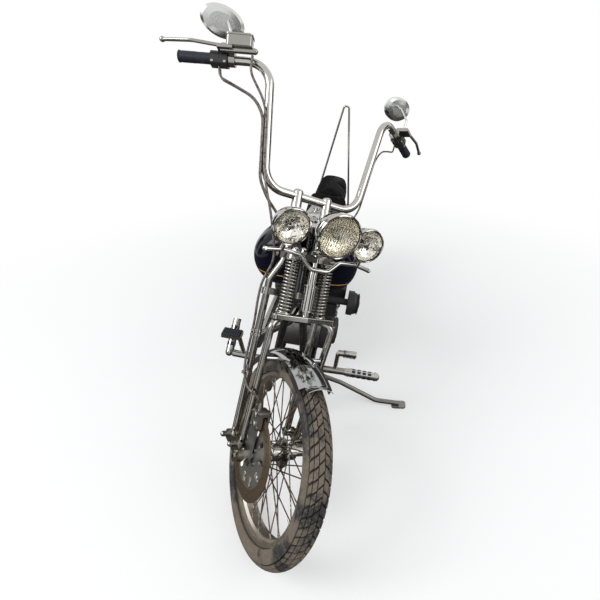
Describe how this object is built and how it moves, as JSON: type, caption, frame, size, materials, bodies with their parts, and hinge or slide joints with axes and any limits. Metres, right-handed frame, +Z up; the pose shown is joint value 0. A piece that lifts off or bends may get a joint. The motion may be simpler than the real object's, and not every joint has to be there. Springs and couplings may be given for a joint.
{
  "type": "chopper motorcycle",
  "caption": "Chopper motorcycle on its side stand: springer fork, tall handlebar, laced wheels, finned V engine, split fuel tank, stepped seat and sissy bar.",
  "frame": {"origin": "centre of the parked machine's box, on the ground", "axes": "+X forward, +Y to the rider's left, +Z up; the machine leans left on its stand"},
  "size_m": [2.3301, 0.982, 1.758],
  "materials": {
    "chrome": "polished",
    "frame_black": "gloss",
    "tank_paint": "gloss with pinstripe",
    "engine_black": "satin black",
    "engine_alloy": "satin",
    "tyre": "dusty rubber",
    "rubber": "matt",
    "steel": "worn",
    "disc_steel": "rusty friction ring",
    "seat_leather": "black",
    "clear_glass": "clear",
    "tail_red": "gloss",
    "hose": "braided"
  },
  "bodies": {
    "frame": {"backbone": "frame_black", "frame_rails": "frame_black", "lower_stays": "frame_black", "upper_stays": "frame_black", "rear_axle": "steel", "rear_caliper": "chrome", "drive_belt": "rubber", "crankcase": "engine_alloy", "cylinders": "engine_black", "rocker_covers": "chrome", "pushrod_tubes": "chrome", "gearbox": "engine_alloy", "primary_cover": "engine_black", "oil_tank": "tank_paint", "air_cleaner": "chrome", "exhaust_pipes": "chrome", "mufflers": "chrome", "fuel_tank": "tank_paint", "dash_console": "chrome", "rear_fender": "tank_paint", "pillion_seat": "seat_leather", "rider_seat": "seat_leather", "fender_struts": "chrome", "sissy_bar": "chrome", "tail_lamp": "tail_red", "horn": "chrome", "control_brackets": "frame_black", "footpegs": "chrome", "foot_levers": "chrome", "stand_bracket": "frame_black"},
    "steering": {"steering_stem": "chrome", "rigid_legs": "chrome", "spring_legs": "chrome", "fork_springs": "chrome", "damper": "chrome", "rockers": "chrome", "front_axle": "steel", "front_caliper": "chrome", "front_fender": "chrome", "lamp_shells": "chrome", "lamp_lenses": "clear_glass", "light_bar": "chrome", "handlebar": "chrome", "risers": "chrome", "grips": "rubber", "hand_controls": "chrome", "mirrors": "chrome", "control_cables": "rubber", "brake_hose": "hose"},
    "front_wheel": {"front_tyre": "tyre", "front_rim": "chrome", "front_hub": "chrome", "front_disc": "disc_steel"},
    "rear_wheel": {"rear_tyre": "tyre", "rear_rim": "chrome", "rear_hub": "chrome", "rear_disc": "disc_steel", "drive_pulley": "steel"},
    "side_stand": {"side_stand": "chrome"}
  },
  "joints": [
    {"name": "steering", "type": "hinge", "parent": "frame", "child": "steering", "pos_m": [0.79867, -0.10355, 0.2943], "axis": [0.5241, -0.1458, -0.8391], "range_deg": [0, 64]},
    {"name": "front_wheel_spin", "type": "hinge", "parent": "steering", "child": "front_wheel", "pos_m": [0.85062, -0.0604, 0.31926], "axis": [-0.4523, 0.7871, -0.4193], "continuous": true},
    {"name": "rear_wheel_spin", "type": "hinge", "parent": "frame", "child": "rear_wheel", "pos_m": [-0.78016, -0.10163, 0.3162], "axis": [-0.0012, 0.9851, -0.1719], "continuous": true},
    {"name": "side_stand_fold", "type": "hinge", "parent": "frame", "child": "side_stand", "pos_m": [0.21851, -0.00477, 0.11982], "axis": [0.0068, 0.1719, 0.9851], "range_deg": [0, 95]}
  ]
}
